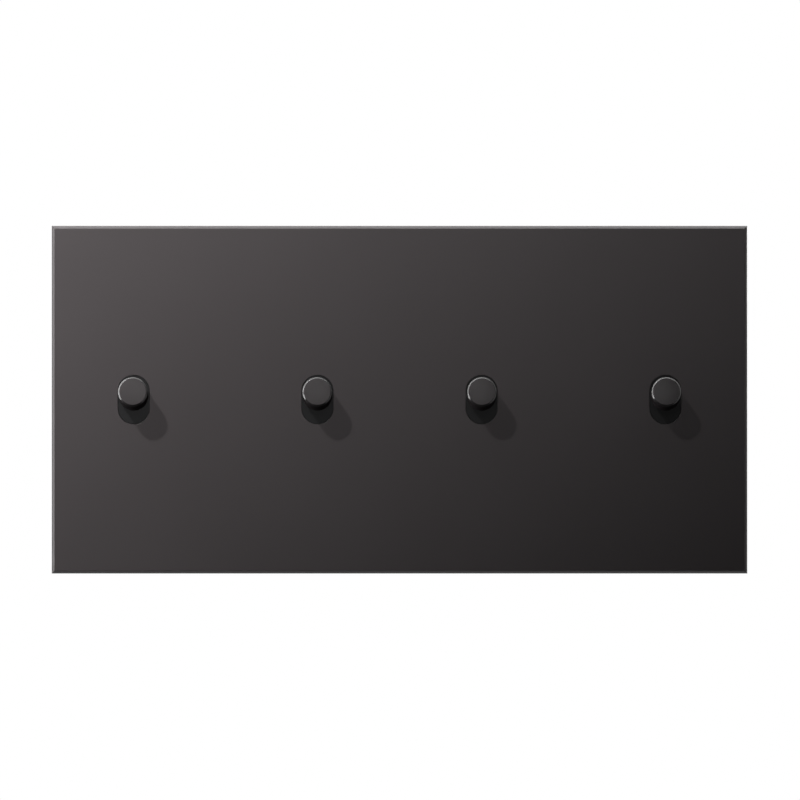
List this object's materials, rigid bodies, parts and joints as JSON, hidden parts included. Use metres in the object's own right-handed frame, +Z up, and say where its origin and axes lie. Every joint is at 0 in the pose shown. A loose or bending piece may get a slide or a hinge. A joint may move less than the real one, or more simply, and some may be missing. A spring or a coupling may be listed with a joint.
{
  "type": "toggle light switch",
  "caption": "Flat dark lacquered wall plate with short cylindrical toggle handles in round-ended slots, over moulded switch inserts for flush wall boxes.",
  "frame": {"origin": "middle of the wall plane behind the plate, centre of the four box screws", "axes": "+X to the right along both boxes, +Y into the wall, +Z up"},
  "size_m": [0.142, 0.0397, 0.071],
  "materials": {
    "dark_lacquer": "satin",
    "black_moulding": "matte",
    "grey_moulding": "matte",
    "white_moulding": "matte",
    "zinc_steel": "satin",
    "blackened_steel": "satin",
    "contact_brass": "satin",
    "silver": "satin"
  },
  "bodies": {
    "insert": {"cover_plate": "dark_lacquer", "plate_carrier_left": "black_moulding", "support_ring_left": "zinc_steel", "bearing_frame_left": "white_moulding", "housing_base_left": "grey_moulding", "plate_carrier_right": "black_moulding", "support_ring_right": "zinc_steel", "bearing_frame_right": "white_moulding", "housing_base_right": "grey_moulding", "clamp_springs": "zinc_steel", "fixed_tips": "silver", "terminal_cover_1": "black_moulding", "upper_contact_1": "contact_brass", "lower_contact_1": "contact_brass", "common_contact_1": "contact_brass", "terminal_cover_2": "black_moulding", "upper_contact_2": "contact_brass", "lower_contact_2": "contact_brass", "common_contact_2": "contact_brass", "terminal_cover_3": "black_moulding", "upper_contact_3": "contact_brass", "lower_contact_3": "contact_brass", "common_contact_3": "contact_brass", "terminal_cover_4": "black_moulding", "upper_contact_4": "contact_brass", "lower_contact_4": "contact_brass", "common_contact_4": "contact_brass"},
    "toggle_1": {"toggle_handle_1": "dark_lacquer", "toggle_tang_1": "blackened_steel", "toggle_lever_1": "black_moulding", "plunger_spring_1": "zinc_steel"},
    "plunger_1": {"plunger_1": "white_moulding"},
    "rocker_1": {"contact_rocker_1": "contact_brass", "moving_tips_1": "silver"},
    "toggle_2": {"toggle_handle_2": "dark_lacquer", "toggle_tang_2": "blackened_steel", "toggle_lever_2": "black_moulding", "plunger_spring_2": "zinc_steel"},
    "plunger_2": {"plunger_2": "white_moulding"},
    "rocker_2": {"contact_rocker_2": "contact_brass", "moving_tips_2": "silver"},
    "toggle_3": {"toggle_handle_3": "dark_lacquer", "toggle_tang_3": "blackened_steel", "toggle_lever_3": "black_moulding", "plunger_spring_3": "zinc_steel"},
    "plunger_3": {"plunger_3": "white_moulding"},
    "rocker_3": {"contact_rocker_3": "contact_brass", "moving_tips_3": "silver"},
    "toggle_4": {"toggle_handle_4": "dark_lacquer", "toggle_tang_4": "blackened_steel", "toggle_lever_4": "black_moulding", "plunger_spring_4": "zinc_steel"},
    "plunger_4": {"plunger_4": "white_moulding"},
    "rocker_4": {"contact_rocker_4": "contact_brass", "moving_tips_4": "silver"}
  },
  "joints": [
    {"name": "toggle_1_tilt", "type": "hinge", "parent": "insert", "child": "toggle_1", "pos_m": [-0.05425, 0.0021, 0], "axis": [1, 0, 0], "range_deg": [0, 12]},
    {"name": "plunger_1_slide", "type": "slide", "parent": "toggle_1", "child": "plunger_1", "axis": [0, -0.9945, 0.1045], "range_m": [0, 0.0005], "stiffness_N_per_m": 600, "springref_m": -0.0008, "deforming": ["plunger_spring_1"]},
    {"name": "rocker_1_tip", "type": "hinge", "parent": "insert", "child": "rocker_1", "pos_m": [-0.05425, 0.01522, 0], "axis": [1, 0, 0], "range_deg": [-14, 0]},
    {"name": "toggle_2_tilt", "type": "hinge", "parent": "insert", "child": "toggle_2", "pos_m": [-0.01675, 0.0021, 0], "axis": [1, 0, 0], "range_deg": [0, 12]},
    {"name": "plunger_2_slide", "type": "slide", "parent": "toggle_2", "child": "plunger_2", "axis": [0, -0.9945, 0.1045], "range_m": [0, 0.0005], "stiffness_N_per_m": 600, "springref_m": -0.0008, "deforming": ["plunger_spring_2"]},
    {"name": "rocker_2_tip", "type": "hinge", "parent": "insert", "child": "rocker_2", "pos_m": [-0.01675, 0.01522, 0], "axis": [1, 0, 0], "range_deg": [-14, 0]},
    {"name": "toggle_3_tilt", "type": "hinge", "parent": "insert", "child": "toggle_3", "pos_m": [0.01675, 0.0021, 0], "axis": [1, 0, 0], "range_deg": [0, 12]},
    {"name": "plunger_3_slide", "type": "slide", "parent": "toggle_3", "child": "plunger_3", "axis": [0, -0.9945, 0.1045], "range_m": [0, 0.0005], "stiffness_N_per_m": 600, "springref_m": -0.0008, "deforming": ["plunger_spring_3"]},
    {"name": "rocker_3_tip", "type": "hinge", "parent": "insert", "child": "rocker_3", "pos_m": [0.01675, 0.01522, 0], "axis": [1, 0, 0], "range_deg": [-14, 0]},
    {"name": "toggle_4_tilt", "type": "hinge", "parent": "insert", "child": "toggle_4", "pos_m": [0.05425, 0.0021, 0], "axis": [1, 0, 0], "range_deg": [0, 12]},
    {"name": "plunger_4_slide", "type": "slide", "parent": "toggle_4", "child": "plunger_4", "axis": [0, -0.9945, 0.1045], "range_m": [0, 0.0005], "stiffness_N_per_m": 600, "springref_m": -0.0008, "deforming": ["plunger_spring_4"]},
    {"name": "rocker_4_tip", "type": "hinge", "parent": "insert", "child": "rocker_4", "pos_m": [0.05425, 0.01522, 0], "axis": [1, 0, 0], "range_deg": [-14, 0]}
  ],
  "couplings": [
    {"joint": "rocker_1_tip", "follows": "toggle_1_tilt", "ratio": -1.1667},
    {"joint": "rocker_2_tip", "follows": "toggle_2_tilt", "ratio": -1.1667},
    {"joint": "rocker_3_tip", "follows": "toggle_3_tilt", "ratio": -1.1667},
    {"joint": "rocker_4_tip", "follows": "toggle_4_tilt", "ratio": -1.1667}
  ]
}
